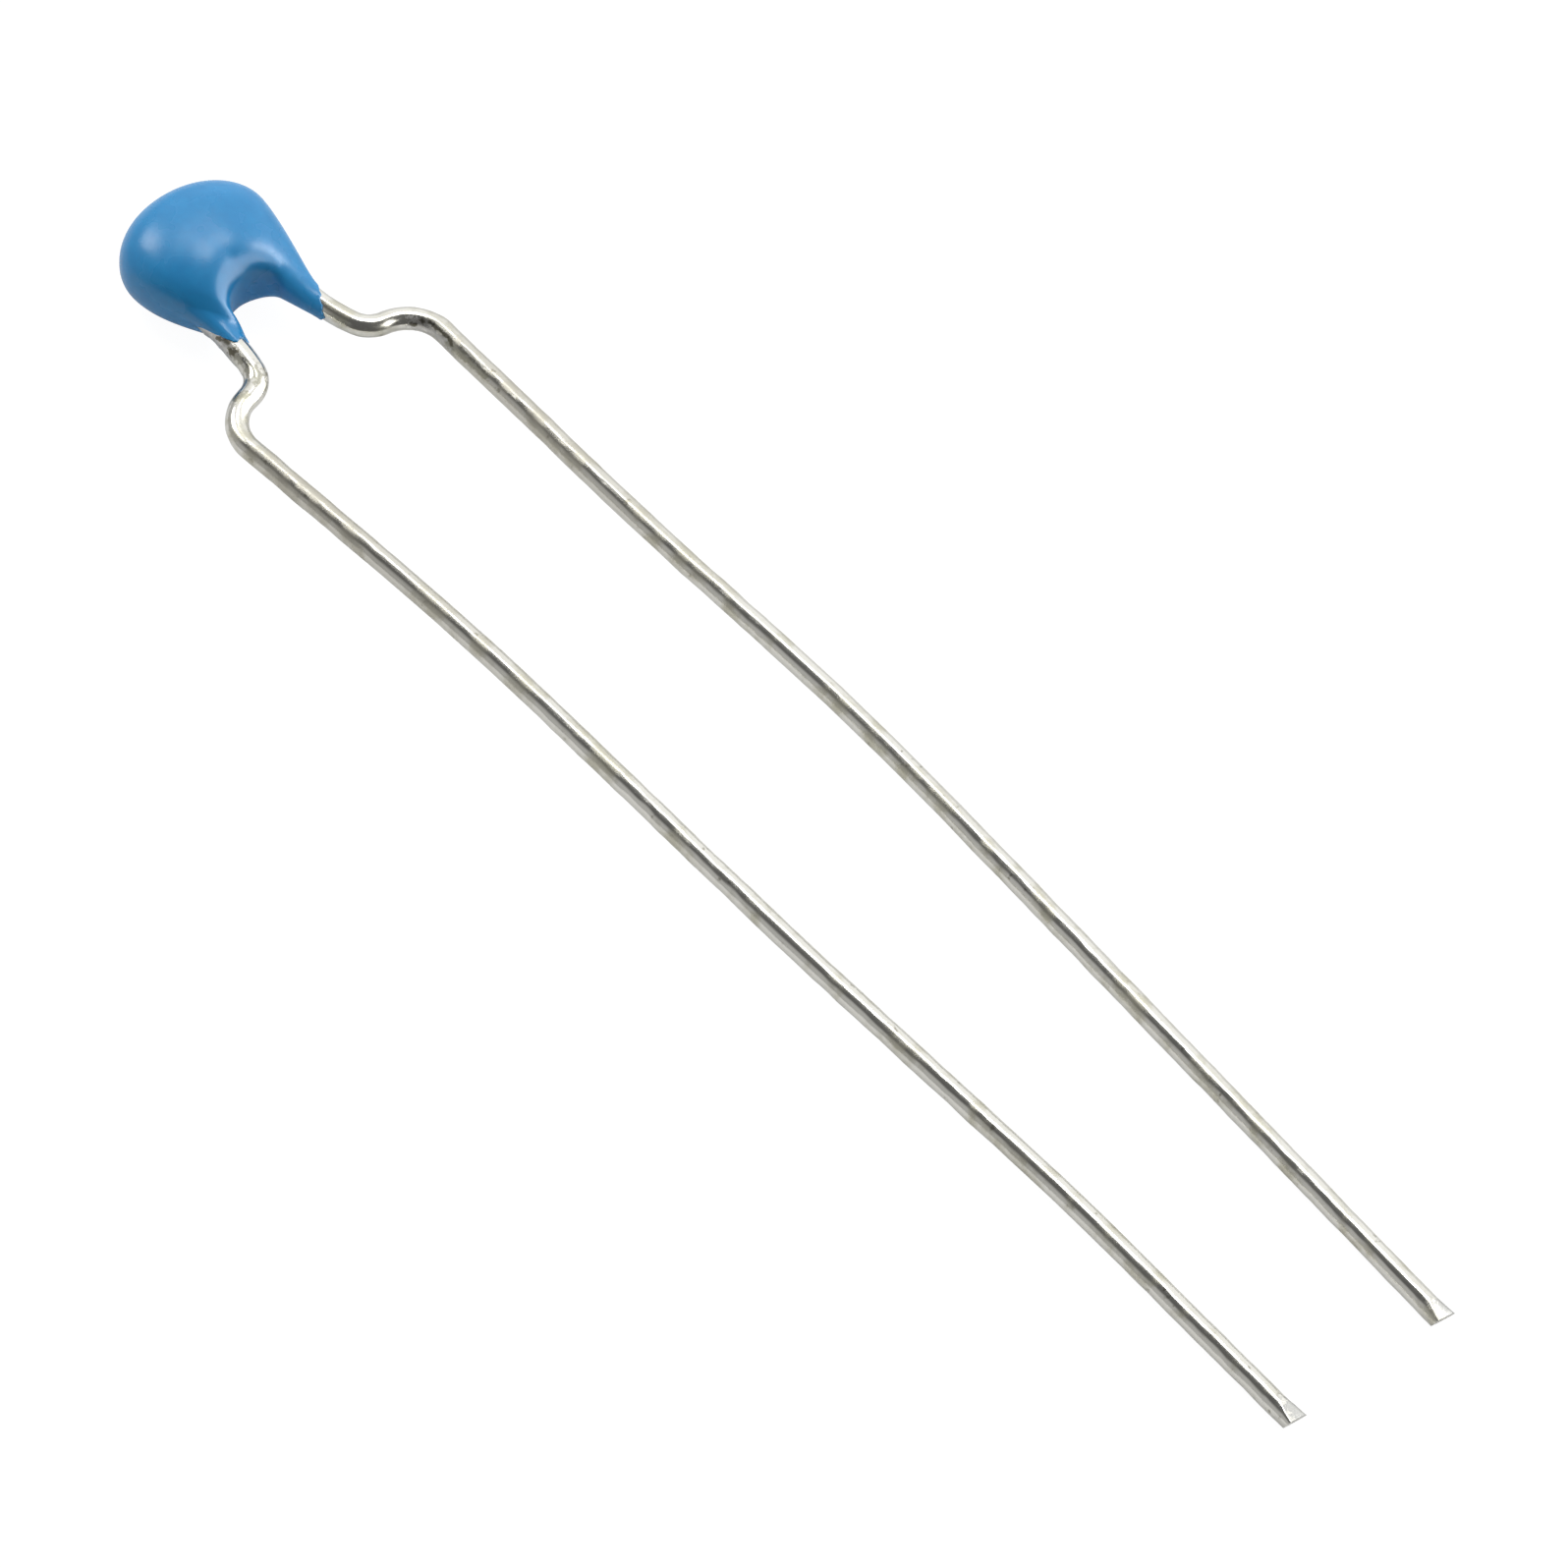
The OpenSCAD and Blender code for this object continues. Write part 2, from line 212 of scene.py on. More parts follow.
def draw_ring(mesh, edges):
    """Extrudes a ring of edges in place: (its new vertices, its new ring of edges)."""
    drawn = bmesh.ops.extrude_edge_only(mesh, edges=edges)["geom"]
    fresh = of_kind(drawn, bmesh.types.BMVert)
    known = set(fresh)
    ring = [
        edge
        for edge in of_kind(drawn, bmesh.types.BMEdge)
        if edge.verts[0] in known and edge.verts[1] in known
    ]
    return fresh, ring


def start_ring(mesh, points, radius, place):
    """A circle in the YZ plane whose vertices know their place round it."""
    turn = Matrix.Rotation(pi / 2, 4, "Z") @ Matrix.Rotation(pi / 2, 4, "X")
    circle = bmesh.ops.create_circle(
        mesh, cap_ends=False, radius=radius, segments=points, matrix=turn
    )["verts"]
    for index, vertex in enumerate(circle):
        vertex[place] = index
    edges = list({edge for vertex in circle for edge in vertex.link_edges})
    return circle, edges


def close_ends(mesh, *rims):
    for rim in rims:
        bmesh.ops.edgeloop_fill(mesh, edges=rim)


def unwrap_tube(mesh, points, place, reach):
    """U runs along the tube in millimetres, V once round it."""
    uv = mesh.loops.layers.uv.new("UVMap")
    for face in mesh.faces:
        places = [loop.vert[place] for loop in face.loops]
        wraps = max(places) - min(places) > points / 2
        for loop, at in zip(face.loops, places):
            if wraps and at < points / 2:
                at += points
            loop[uv].uv = (loop.vert[reach], at / points)


def mesh_object(mesh, name, material):
    data = bpy.data.meshes.new(name)
    mesh.to_mesh(data)
    mesh.free()
    data.materials.append(material)
    return new_object(name, data)


def finish_piece(mesh, name, material, node_name):
    """Lays a mesh down where the part rests, as a piece that stands for a node."""
    bmesh.ops.recalc_face_normals(mesh, faces=mesh.faces)
    mesh.transform(SETTLED)
    piece = mesh_object(mesh, name, material)
    piece.data.shade_smooth()
    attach(piece, "root")
    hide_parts(node_name)


# ---- Material helpers ---------------------------------------------------------------------


def set_inputs(tree, node, inputs):
    """Sets a node's inputs. A value may be a socket, which is then linked."""
    for name, value in inputs.items():
        socket = node.inputs[name]
        if isinstance(value, bpy.types.NodeSocket):
            tree.links.new(value, socket)
        else:
            socket.default_value = value


def add_node(tree, kind, inputs=None, **settings):
    made = tree.nodes.new(kind)
    for name, value in settings.items():
        setattr(made, name, value)
    set_inputs(tree, made, inputs or {})
    return made


def cleared_tree(owner):
    """The empty node tree of a material or a world."""
    owner.use_nodes = True
    owner.node_tree.nodes.clear()
    return owner.node_tree


def scaled(tree, value, low, high):
    """Spreads a value from 0 to 1 over low to high."""
    spread = add_node(
        tree, "ShaderNodeMapRange", {"Value": value, "To Min": low, "To Max": high}
    )
    return spread.outputs["Result"]


def contrast(tree, value, zero, one):
    """0 up to one level of a value and 1 past another, with a soft step between."""
    step = add_node(
        tree,
        "ShaderNodeMapRange",
        {"Value": value, "From Min": zero, "From Max": one},
        interpolation_type="SMOOTHSTEP",
    )
    return step.outputs["Result"]


def blended(tree, factor, first, second):
    mixed = add_node(
        tree, "ShaderNodeMix", {0: factor, 6: first, 7: second}, data_type="RGBA"
    )
    return mixed.outputs[2]


def tinted(tree, colour, mask, share, tint):
    """Tints a colour where a mask is 1, by a share."""
    return blended(tree, scaled(tree, mask, 0, share), colour, tint)


def arithmetic(tree, operation, first, second):
    sums = add_node(tree, "ShaderNodeMath", {0: first, 1: second}, operation=operation)
    return sums.outputs[0]


def vector_maths(tree, operation, first, second, result="Vector"):
    sums = add_node(
        tree, "ShaderNodeVectorMath", {0: first, 1: second}, operation=operation
    )
    return sums.outputs[result]


def noise_field(tree, vector, scale, detail=2.0, roughness=0.5):
    field = add_node(
        tree,
        "ShaderNodeTexNoise",
        {"Vector": vector, "Scale": scale, "Detail": detail, "Roughness": roughness},
    )
    return field.outputs["Fac"]


def bumped(tree, height, depth):
    """The surface's normal under bumps of a depth in metres."""
    bump = add_node(
        tree, "ShaderNodeBump", {"Strength": 1.0, "Distance": depth, "Height": height}
    )
    return bump.outputs["Normal"]


def new_material(name, shader_values):
    """A material with a Principled BSDF: (material, tree, shader)."""
    material = bpy.data.materials.new(name)
    tree = cleared_tree(material)
    shader = add_node(tree, "ShaderNodeBsdfPrincipled", shader_values)
    add_node(tree, "ShaderNodeOutputMaterial", {"Surface": shader.outputs["BSDF"]})
    return material, tree, shader


def object_place(tree):
    return add_node(tree, "ShaderNodeTexCoord").outputs["Object"]


def new_group(name, inputs, outputs):
    """A node group whose sockets are {name: kind}: (group, the sockets it is given)."""
    group = bpy.data.node_groups.new(name, "ShaderNodeTree")
    for in_out, sockets in (("INPUT", inputs), ("OUTPUT", outputs)):
        for socket_name, kind in sockets.items():
            group.interface.new_socket(
                socket_name, in_out=in_out, socket_type=f"NodeSocket{kind}"
            )
    return group, add_node(group, "NodeGroupInput").outputs


NOISE_MIDDLE = (0.35, 0.65)  # most of a noise field's values lie between these


def make_grain_group():
    """Fine grain that several finishes share: a mask and a surface normal."""
    group, given = new_group(
        "fine_grain",
        {"Vector": "Vector", "Scale": "Float", "Depth": "Float"},
        {"Mask": "Float", "Normal": "Vector"},
    )
    field = noise_field(group, given["Vector"], given["Scale"], 3.0, 0.55)
    mask = contrast(group, field, *NOISE_MIDDLE)
    normal = bumped(group, field, given["Depth"])
    add_node(group, "NodeGroupOutput", {"Mask": mask, "Normal": normal})
    return group


FINE_GRAIN = make_grain_group()


def add_grain(tree, vector, scale, depth):
    grain = add_node(
        tree,
        "ShaderNodeGroup",
        {"Vector": vector, "Scale": scale, "Depth": depth},
        node_tree=FINE_GRAIN,
    )
    return grain.outputs["Mask"], grain.outputs["Normal"]


MARK_NOISE = 13000  # per metre
MARK_SWELL = (1.5, 0.45)  # how far a mark's edge runs out and in, as shares of its radius
MARK_EDGE = (1.3, 0.5)  # where its soft edge starts and ends, as shares of its reach


def make_mark_group():
    """A ragged streak on a surface, from a start along a vector: 1 inside, 0 outside."""
    group, given = new_group(
        "ragged_mark",
        {"Vector": "Vector", "Start": "Vector", "Along": "Vector", "Radius": "Float"},
        {"Mask": "Float"},
    )
    along = given["Along"]
    from_start = vector_maths(group, "SUBTRACT", given["Vector"], given["Start"])
    share = arithmetic(
        group,
        "DIVIDE",
        vector_maths(group, "DOT_PRODUCT", from_start, along, "Value"),
        vector_maths(group, "DOT_PRODUCT", along, along, "Value"),
    )
    nearest = add_node(
        group,
        "ShaderNodeVectorMath",
        {0: along, "Scale": scaled(group, share, 0, 1)},
        operation="SCALE",
    ).outputs["Vector"]
    distance = vector_maths(group, "DISTANCE", from_start, nearest, "Value")
    field = noise_field(group, given["Vector"], MARK_NOISE, 3.0)
    swell = scaled(group, contrast(group, field, *NOISE_MIDDLE), *MARK_SWELL)
    reach = arithmetic(group, "MULTIPLY", given["Radius"], swell)
    inside = contrast(group, arithmetic(group, "DIVIDE", distance, reach), *MARK_EDGE)
    add_node(group, "NodeGroupOutput", {"Mask": inside})
    return group


RAGGED_MARK = make_mark_group()


def add_marks(tree, vector, marks):
    """One mask for a list of marks, each (start, end, radius) in the part's millimetres."""
    mask = None
    for start, end, radius in marks:
        start, end = SETTLED @ Vector(start), SETTLED @ Vector(end)
        mark = add_node(
            tree,
            "ShaderNodeGroup",
            {"Vector": vector, "Start": start, "Along": end - start, "Radius": radius * MM},
            node_tree=RAGGED_MARK,
        ).outputs["Mask"]
        mask = mark if mask is None else arithmetic(tree, "MAXIMUM", mask, mark)
    return mask


# ---- Coating's and wires' finishes --------------------------------------------------------

# Scales of noise are per metre and depths in metres
DEEP_BLUE = (0.018, 0.268, 0.600, 1)
LIGHT_BLUE = (0.024, 0.298, 0.645, 1)
PEEL_BLUE = (0.022, 0.225, 0.540, 1)
PEEL_SHARE = 0.25
PEEL_SCALE = 5200
PEEL_DEPTH = 0.0000016
CLOUD_SCALE = 900
CLOUD_LEVELS = (0.35, 0.7)
EPOXY_ROUGH = (0.23, 0.29)

BRIGHT_TIN = (0.71, 0.70, 0.65, 1)
PATCHY_TIN = (0.52, 0.505, 0.42, 1)
SMOKED_TIN = (0.46, 0.44, 0.38, 1)
SPECKED_TIN = (0.30, 0.285, 0.23, 1)
DULLED_TIN = (0.50, 0.49, 0.48, 1)
# Olive of real tarnish, also used as painted shade over the bright reflections on the wires'
# bends
OLIVE_TARNISH_AND_SHADE = (0.33, 0.32, 0.25, 1)
# Near-black of burnt flux, also used for painted shade on the right wire
FLUX_AND_STREAK_DARK = (0.12, 0.11, 0.075, 1)
SHORN_TIN = (0.50, 0.50, 0.48, 1)

TIN_ROUGH = (0.16, 0.30)
PATCH_SCALE = 1500
PATCH_LEVELS = (0.46, 0.68)
SPECK_SCALE = 4600
SPECK_LEVELS = (0.66, 0.76)
# The lines that drawing leaves in the tin
LINE_STRETCH = (0.5, 26, 1)
LINE_DEPTH = 0.0000015
LINE_ROUGH = (-0.03, 0.03)
# Smoke by the length along a wire: from none to full, and from none back to full
SMOKE_RISES = (5.5, 7.5)
SMOKE_FADES = (18, 7)
SMOKE_SHARES = (0.55, 0.9)  # on bright tin and on patches
SMOKE_ROUGH = (0, 0.06)
DULLED_ROUGH = (0, 0.2)

# Marks on the wires, each (start, end, radius)
# Near-black marks: the first three are burnt flux by the left leg. The rest, on the right
# wire's bend and along its top past it, are painted shade: dark spots and a painted dark
# reflection streak.
FLUX_AND_STREAK_MARKS = (
    ((2.19, -1.30, 0.15), (2.25, -1.28, 0.18), 0.06),
    ((2.37, -1.21, 0.22), (2.46, -1.17, 0.25), 0.08),
    ((2.64, -1.31, 0.15), (2.75, -1.25, 0.22), 0.09),
    ((4.53, 2.21, 0.11), (4.57, 2.23, 0.13), 0.07),
    ((4.62, 2.38, 0.20), (4.66, 2.36, 0.19), 0.06),
    ((4.78, 2.47, 0.21), (4.91, 2.48, 0.20), 0.055),
    ((4.91, 2.48, 0.20), (5.38, 2.50, 0.21), 0.045),
    ((5.38, 2.50, 0.21), (5.51, 2.47, 0.19), 0.065),
)
DULL_MARKS = (
    ((1.75, -1.30, 0.03), (2.80, -1.30, 0.15), 0.17),
    ((2.40, -1.25, 0.20), (2.75, -1.28, 0.18), 0.14),
    ((4.50, 2.25, 0.10), (5.50, 2.42, 0.12), 0.16),
)
# Olive marks: the first is tarnish by the left leg. The next two are painted shade that dims
# the bright reflection on the left wire's bend. The last two paint a dark streak along the
# top of the right wire past its bend, a painted reflection of the dark room.
TARNISH_AND_SHADE_MARKS = (
    ((2.60, -1.28, 0.16), (3.00, -1.30, 0.18), 0.10),
    ((3.30, -1.28, 0.20), (3.85, -1.35, 0.16), 0.17),
    ((3.74, -2.05, 0.22), (3.82, -1.80, 0.22), 0.12),
    ((5.45, 2.44, 0.15), (5.85, 2.44, 0.16), 0.11),
    ((5.85, 2.45, 0.17), (6.65, 2.46, 0.18), 0.09),
)
SHORN_MARKS = (
    ((37.30, -1.77, 0.22), (37.68, -1.72, 0.16), 0.22),
    ((37.42, 2.31, 0.22), (37.78, 2.35, 0.16), 0.22),
)


def make_blue_epoxy():
    """Glossy blue epoxy with a faint orange peel and clouds of denser pigment."""
    material, tree, shader = new_material("blue_epoxy", {"IOR": 1.51})
    place = object_place(tree)
    clouds = contrast(tree, noise_field(tree, place, CLOUD_SCALE, 3.0), *CLOUD_LEVELS)
    colour = blended(tree, clouds, DEEP_BLUE, LIGHT_BLUE)
    mask, peel = add_grain(tree, place, PEEL_SCALE, PEEL_DEPTH)
    finish = {
        "Base Color": tinted(tree, colour, mask, PEEL_SHARE, PEEL_BLUE),
        "Roughness": scaled(tree, clouds, *EPOXY_ROUGH),
        "Normal": peel,
    }
    set_inputs(tree, shader, finish)
    return material


def make_tinned_wire():
    """Bright drawn tin with dull patches, faint draw lines, smoke, specks and stains, with
    painted shade over its bends.
    """
    material, tree, shader = new_material("tinned_wire", {"Metallic": 1.0})
    place = object_place(tree)
    along = add_node(tree, "ShaderNodeUVMap", uv_map="UVMap").outputs["UV"]
    length = add_node(tree, "ShaderNodeSeparateXYZ", {"Vector": along}).outputs["X"]
    drawn = add_node(
        tree, "ShaderNodeMapping", {"Vector": along, "Scale": LINE_STRETCH}
    ).outputs["Vector"]
    lines = noise_field(tree, drawn, 1.0, 4.0, 0.6)
    patches = contrast(tree, noise_field(tree, place, PATCH_SCALE, 3.0), *PATCH_LEVELS)
    smoked = arithmetic(
        tree,
        "MULTIPLY",
        contrast(tree, length, *SMOKE_RISES),
        contrast(tree, length, *SMOKE_FADES),
    )
    smoke = arithmetic(tree, "MULTIPLY", smoked, scaled(tree, patches, *SMOKE_SHARES))
    specks = contrast(tree, noise_field(tree, place, SPECK_SCALE), *SPECK_LEVELS)
    dulled = add_marks(tree, place, DULL_MARKS)
    tarnish_and_shade = add_marks(tree, place, TARNISH_AND_SHADE_MARKS)
    flux_and_streak = add_marks(tree, place, FLUX_AND_STREAK_MARKS)
    shorn = add_marks(tree, place, SHORN_MARKS)

    colour = blended(tree, patches, BRIGHT_TIN, PATCHY_TIN)
    colour = blended(tree, smoke, colour, SMOKED_TIN)
    colour = tinted(tree, colour, specks, 0.8, SPECKED_TIN)
    colour = tinted(tree, colour, dulled, 0.7, DULLED_TIN)
    # Painted shade on the tin: olive over the bends' bright reflections, and a dark streak
    # along the right wire
    colour = tinted(tree, colour, tarnish_and_shade, 0.7, OLIVE_TARNISH_AND_SHADE)
    # Burnt flux by the left leg, and painted dark spots and a painted reflection streak on
    # the right wire
    colour = tinted(tree, colour, flux_and_streak, 0.85, FLUX_AND_STREAK_DARK)
    colour = tinted(tree, colour, shorn, 1, SHORN_TIN)

    rough = scaled(tree, patches, *TIN_ROUGH)
    for mask, added in ((lines, LINE_ROUGH), (dulled, DULLED_ROUGH), (smoked, SMOKE_ROUGH)):
        rough = arithmetic(tree, "ADD", rough, scaled(tree, mask, *added))
    finish = {
        "Base Color": colour,
        "Roughness": rough,
        "Normal": bumped(tree, lines, LINE_DEPTH),
    }
    set_inputs(tree, shader, finish)
    return material


# ---- Inner pieces, which stay as the CAD solids -------------------------------------------

METAL = {"Metallic": 1.0}


def make_grained(name, colour, dark, rough, grain_scale, grain_depth, shader_values):
    """A plain finish with two close tones and a fine grain."""
    material, tree, shader = new_material(name, shader_values)
    mask, grain = add_grain(tree, object_place(tree), grain_scale, grain_depth)
    finish = {
        "Base Color": blended(tree, mask, colour, dark),
        "Roughness": scaled(tree, mask, *rough),
        "Normal": grain,
    }
    set_inputs(tree, shader, finish)
    return material


# Each finish by the start of its pieces' names
INNER_FINISH = {
    "ceramic_block": make_grained(
        "dielectric_ceramic", (0.46, 0.30, 0.17, 1), (0.36, 0.23, 0.13, 1), (0.5, 0.65),
        9000, 0.000004, {},
    ),
    "electrode_": make_grained(
        "electrode_metal", (0.42, 0.40, 0.38, 1), (0.33, 0.32, 0.30, 1), (0.4, 0.55),
        12000, 0.000001, METAL,
    ),
    "end_termination_": make_grained(
        "termination_metal", (0.60, 0.58, 0.54, 1), (0.48, 0.46, 0.43, 1), (0.35, 0.5),
        9000, 0.000003, METAL,
    ),
    "solder_joint_": make_grained(
        "solder", (0.55, 0.55, 0.54, 1), (0.42, 0.42, 0.41, 1), (0.28, 0.42),
        6000, 0.000004, METAL,
    ),
}

for node_name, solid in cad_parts.items():
    for start, inner_finish in INNER_FINISH.items():
        if node_name.startswith(start):
            for material_slot in solid.material_slots:
                material_slot.material = inner_finish

# ---- Wires --------------------------------------------------------------------------------

WIRE_POINTS = 48
RUN_STEP = 0.08
TURN_STEP = 4  # degrees
# The last stretch of a wire, drawn in finer steps for its tip
TIP_RUN = 0.9
TIP_STEP = 0.03

# Where a bend is pressed flat: (length along the wire, spread, share)
PRESSED = {
    LEFT: ((4.2, 0.55, 0.10), (5.3, 0.6, 0.04)),
    RIGHT: ((4.6, 0.55, 0.05), (5.6, 0.6, 0.05)),
}

WAVE_DEPTH = 0.012
WAVES = ((1.9, 1), (4.3, 0.5), (9.7, 0.16))
WAVE_STRETCH = 0.75  # under 1, waves are longer along the wire

CRUST_START = 1.4
CRUST_END = 3.2
CRUST_RISE = 0.3
CRUST_FADE = 0.5
CRUST_ROUND = 0.2  # how far it runs round past the wire's top, as the surface normal's Y
CRUST_DEPTH = 0.045
CRUST_LEVEL = 0.75  # mean height of its lumps, as a share of its depth
CRUST_LUMPS = ((5.5, 0.9),)

# The cutter's facet on a tip: (length, depth at the end)
TIP_FACET = {LEFT: (0.55, 0.065), RIGHT: (0.50, 0.065)}
TIP_LEAN = radians(14)
TIP_FLARE = 0.22
FLARE_FOOT = 0.35  # how far below the wire's middle the flare starts, in radii
TIP_EDGE = 0.045  # thickness of the wedge that is left at the very end
TIP_UNDERCUT = 0.24  # length of the short facet below
UNDERCUT_CURVE = 1.6  # 1 is flat and more is rounder


def press_bends(mesh, side, reach):
    """Flattens the wire a little where the forming tool has bent it."""
    verts = list(mesh.verts)
    for start in range(0, len(verts), WIRE_POINTS):
        ring = verts[start : start + WIRE_POINTS]
        centre = sum((vertex.co for vertex in ring), Vector()) / WIRE_POINTS
        length = ring[0][reach]
        press = sum(
            amount * exp(-(((length - at) / spread) ** 2))
            for at, spread, amount in PRESSED[side]
        )
        swell = Matrix.Diagonal((1 + press, 1 + press, 1 - press))
        for vertex in ring:
            vertex.co = centre + swell @ (vertex.co - centre)


def add_crust(mesh):
    """The lumpy flux and solder left on the outer side of the left wire, by its leg."""
    mesh.normal_update()
    for vertex in mesh.verts:
        spot = vertex.co
        if not CRUST_START < spot.x < CRUST_END:
            continue
        facing = ease(CRUST_ROUND - vertex.normal.y)
        ends = ease(
            min((spot.x - CRUST_START) / CRUST_RISE, (CRUST_END - spot.x) / CRUST_FADE)
        )
        height = CRUST_LEVEL + lumps(spot, CRUST_LUMPS)
        vertex.co += vertex.normal * CRUST_DEPTH * facing * ends * height


def roughen_wire(mesh):
    """Faint waves and dents that handling leaves in soft tinned wire."""
    mesh.normal_update()
    for vertex in mesh.verts:
        spot = vertex.co.copy()
        spot.x *= WAVE_STRETCH
        vertex.co += vertex.normal * WAVE_DEPTH * lumps(spot, WAVES)


def shape_tip(mesh, side, tip, heading):
    """Pinches the end to a wedge: a long facet above, a short one below and a flare."""
    length, depth = TIP_FACET[side]
    stand = Matrix.Translation(tip) @ Matrix.Rotation(heading, 4, "Z")
    lean = stand @ Matrix.Rotation(-TIP_LEAN, 4, "X")
    back = lean.inverted()
    for vertex in mesh.verts:
        spot = back @ vertex.co
        if spot.x < -length:
            continue
        share = 1 + spot.x / length
        beside = ease(FLARE_FOOT + spot.z / WIRE_RADIUS)
        spot.y *= 1 + TIP_FLARE * share * beside
        below = max(0, 1 + spot.x / TIP_UNDERCUT) ** UNDERCUT_CURVE
        lowest = mix(-WIRE_RADIUS, WIRE_RADIUS - depth - TIP_EDGE, below)
        highest = WIRE_RADIUS - depth * share
        spot.z = max(lowest, min(highest, spot.z))
        vertex.co = lean @ spot


def drawn_runs(side):
    """The wire's bends, each with its run's step. The tip gets a finer run of its own."""
    *bends, (end_run, _, _) = WIRE_BENDS[side]
    bends.append((end_run - TIP_RUN, 0, 0))
    return [(*bend, RUN_STEP) for bend in bends] + [(TIP_RUN, 0, 0, TIP_STEP)]


def draw_wire(side):
    """A circle drawn out along the wire's runs and round its bends."""
    mesh = bmesh.new()
    place = mesh.verts.layers.int.new("place")
    reach = mesh.verts.layers.float.new("reach")
    circle, ring = start_ring(mesh, WIRE_POINTS, WIRE_RADIUS, place)
    spot = Vector((WIRE_START, side * WIRE_Y, 0))
    bmesh.ops.translate(mesh, verts=circle, vec=spot)
    first = list(ring)
    heading = 0
    length = 0
    for run, turn, radius, run_step in drawn_runs(side):
        along = Vector((cos(heading), sin(heading), 0))
        steps = round(run / run_step)
        for _ in range(steps):
            fresh, ring = draw_ring(mesh, ring)
            bmesh.ops.translate(mesh, verts=fresh, vec=along * (run / steps))
            length += run / steps
            for vertex in fresh:
                vertex[reach] = length
        spot += run * along
        if turn:
            swing = side * turn
            across = Vector((-sin(heading), cos(heading), 0))
            centre = spot + across * copysign(radius, swing)
            steps = max(3, round(abs(turn) / TURN_STEP))
            turn_step = Matrix.Rotation(radians(swing / steps), 3, "Z")
            for _ in range(steps):
                fresh, ring = draw_ring(mesh, ring)
                bmesh.ops.rotate(mesh, verts=fresh, cent=centre, matrix=turn_step)
                length += radius * radians(abs(turn)) / steps
                for vertex in fresh:
                    vertex[reach] = length
            spot = centre + Matrix.Rotation(radians(swing), 3, "Z") @ (spot - centre)
            heading += radians(swing)
    unwrap_tube(mesh, WIRE_POINTS, place, reach)
    press_bends(mesh, side, reach)
    if side == LEFT:
        add_crust(mesh)
    roughen_wire(mesh)
    shape_tip(mesh, side, spot, heading)
    for edge in first + ring:
        edge.smooth = False
    close_ends(mesh, first, ring)
    return mesh


TINNED_WIRE = make_tinned_wire()
for side, side_name in SIDE_NAME.items():
    finish_piece(
        draw_wire(side),
        f"wire_{side_name}",
        TINNED_WIRE,
        f"lead_wire_{side_name}",
    )

# ---- Coating ------------------------------------------------------------------------------

COAT_SECTIONS = 96
COAT_POINTS = 128

# Places along the coating, u, from 0 at the dome's top to 1 at a leg's end
THIN_FROM = 0.05  # where the body begins to thin down
ROUND_FROM = 0.15  # where the sections begin to round off
FILM_FROM = 0.6  # past here the skin is nowhere thinner than its film
RAGGED_FROM = 0.72  # where the ragged end begins to draw the skin along

RAGGED_REACH = 0.09
RAGGED_LUMPS = ((1.6, 1), (5.1, 0.45))
RAGGED_SHIFT = 3.7  # sets the two legs' ends apart
# The left leg's skin runs further down the top of its wire than down its outer side
TONGUE_REACH = 0.58
TONGUE_AT = radians(68)
TONGUE_SPREAD = radians(45)

# The rounded lip of a leg's end, which closes inside the wire: (distance on, film left)
LIP_STEPS = ((0.012, 0.034), (0.020, 0.020), (0.022, 0.0), (0.0, -0.06))


def bezier(points, t):
    a, b, c, d = points
    return (
        a * (1 - t) ** 3 + b * (3 * (1 - t) ** 2 * t) + c * (3 * (1 - t) * t * t) + d * t**3
    )


def wire_near(side, x):
    """Centreline of a wire near a leg's end: (point, direction)."""
    splay = asin((x - SPLAY_START) / SPLAY_RADIUS) if x > SPLAY_START else 0
    point = Vector((x, side * (WIRE_Y + SPLAY_RADIUS * (1 - cos(splay))), 0))
    return point, Vector((cos(splay), side * sin(splay), 0))


def spoke_to(side, point):
    """A point as its wire sees it: (centre near it, direction there, spoke across it)."""
    centre, along = wire_near(side, point.x)
    spoke = point - centre
    spoke -= spoke.dot(along) * along
    return centre, along, spoke


def ankle(side, x, which):
    point, along = wire_near(side, x)
    outward = Vector((-side * along.y, side * along.x, 0))
    return point + which * (WIRE_RADIUS + COAT_FILM) * outward


def coat_edge(side, u, top_x, wide_x, half_width, pull, end, end_along, end_pull):
    """A quarter ellipse to the widest level, then a curve into the leg's end."""
    ellipse_pace = pi / 2 * abs(wide_x - top_x)
    widest_u = ellipse_pace / (ellipse_pace + 3 * pull)
    if u <= widest_u:
        angle = pi / 2 * u / widest_u
        return Vector(
            (wide_x + (top_x - wide_x) * cos(angle), side * half_width * sin(angle), 0)
        )
    wide = Vector((wide_x, side * half_width, 0))
    return bezier(
        (wide, wide + Vector((pull, 0, 0)), end - end_pull * end_along, end),
        (u - widest_u) / (1 - widest_u),
    )


def outline_edge(side, u):
    x = LEG_OUTER[side]
    return coat_edge(
        side, u, -DOME_REACH, -SHOULDER_OFFSET, COAT_WIDTH / 2, FLANK_PULL,
        ankle(side, x, 1), wire_near(side, x)[1], OUTER_ANKLE_PULL,
    )


def crotch_edge(side, u):
    x = LEG_INNER[side]
    return coat_edge(
        side, u, CROTCH_REACH, CROTCH_REACH + CROTCH_DEPTH, CROTCH_WIDTH / 2, CROTCH_PULL,
        ankle(side, x, -1), wire_near(side, x)[1], INNER_ANKLE_PULL,
    )


def oval(angle, fullness):
    """A point of an oval of unit half widths: 2 is a circle and more is squarer."""
    spot = Vector((cos(angle), sin(angle)))
    return spot / (abs(spot.x) ** fullness + abs(spot.y) ** fullness) ** (1 / fullness)


def rise(u, start):
    """Rises smoothly from 0 where u is at its start to 1 at a leg's end."""
    return ease((u - start) / (1 - start))


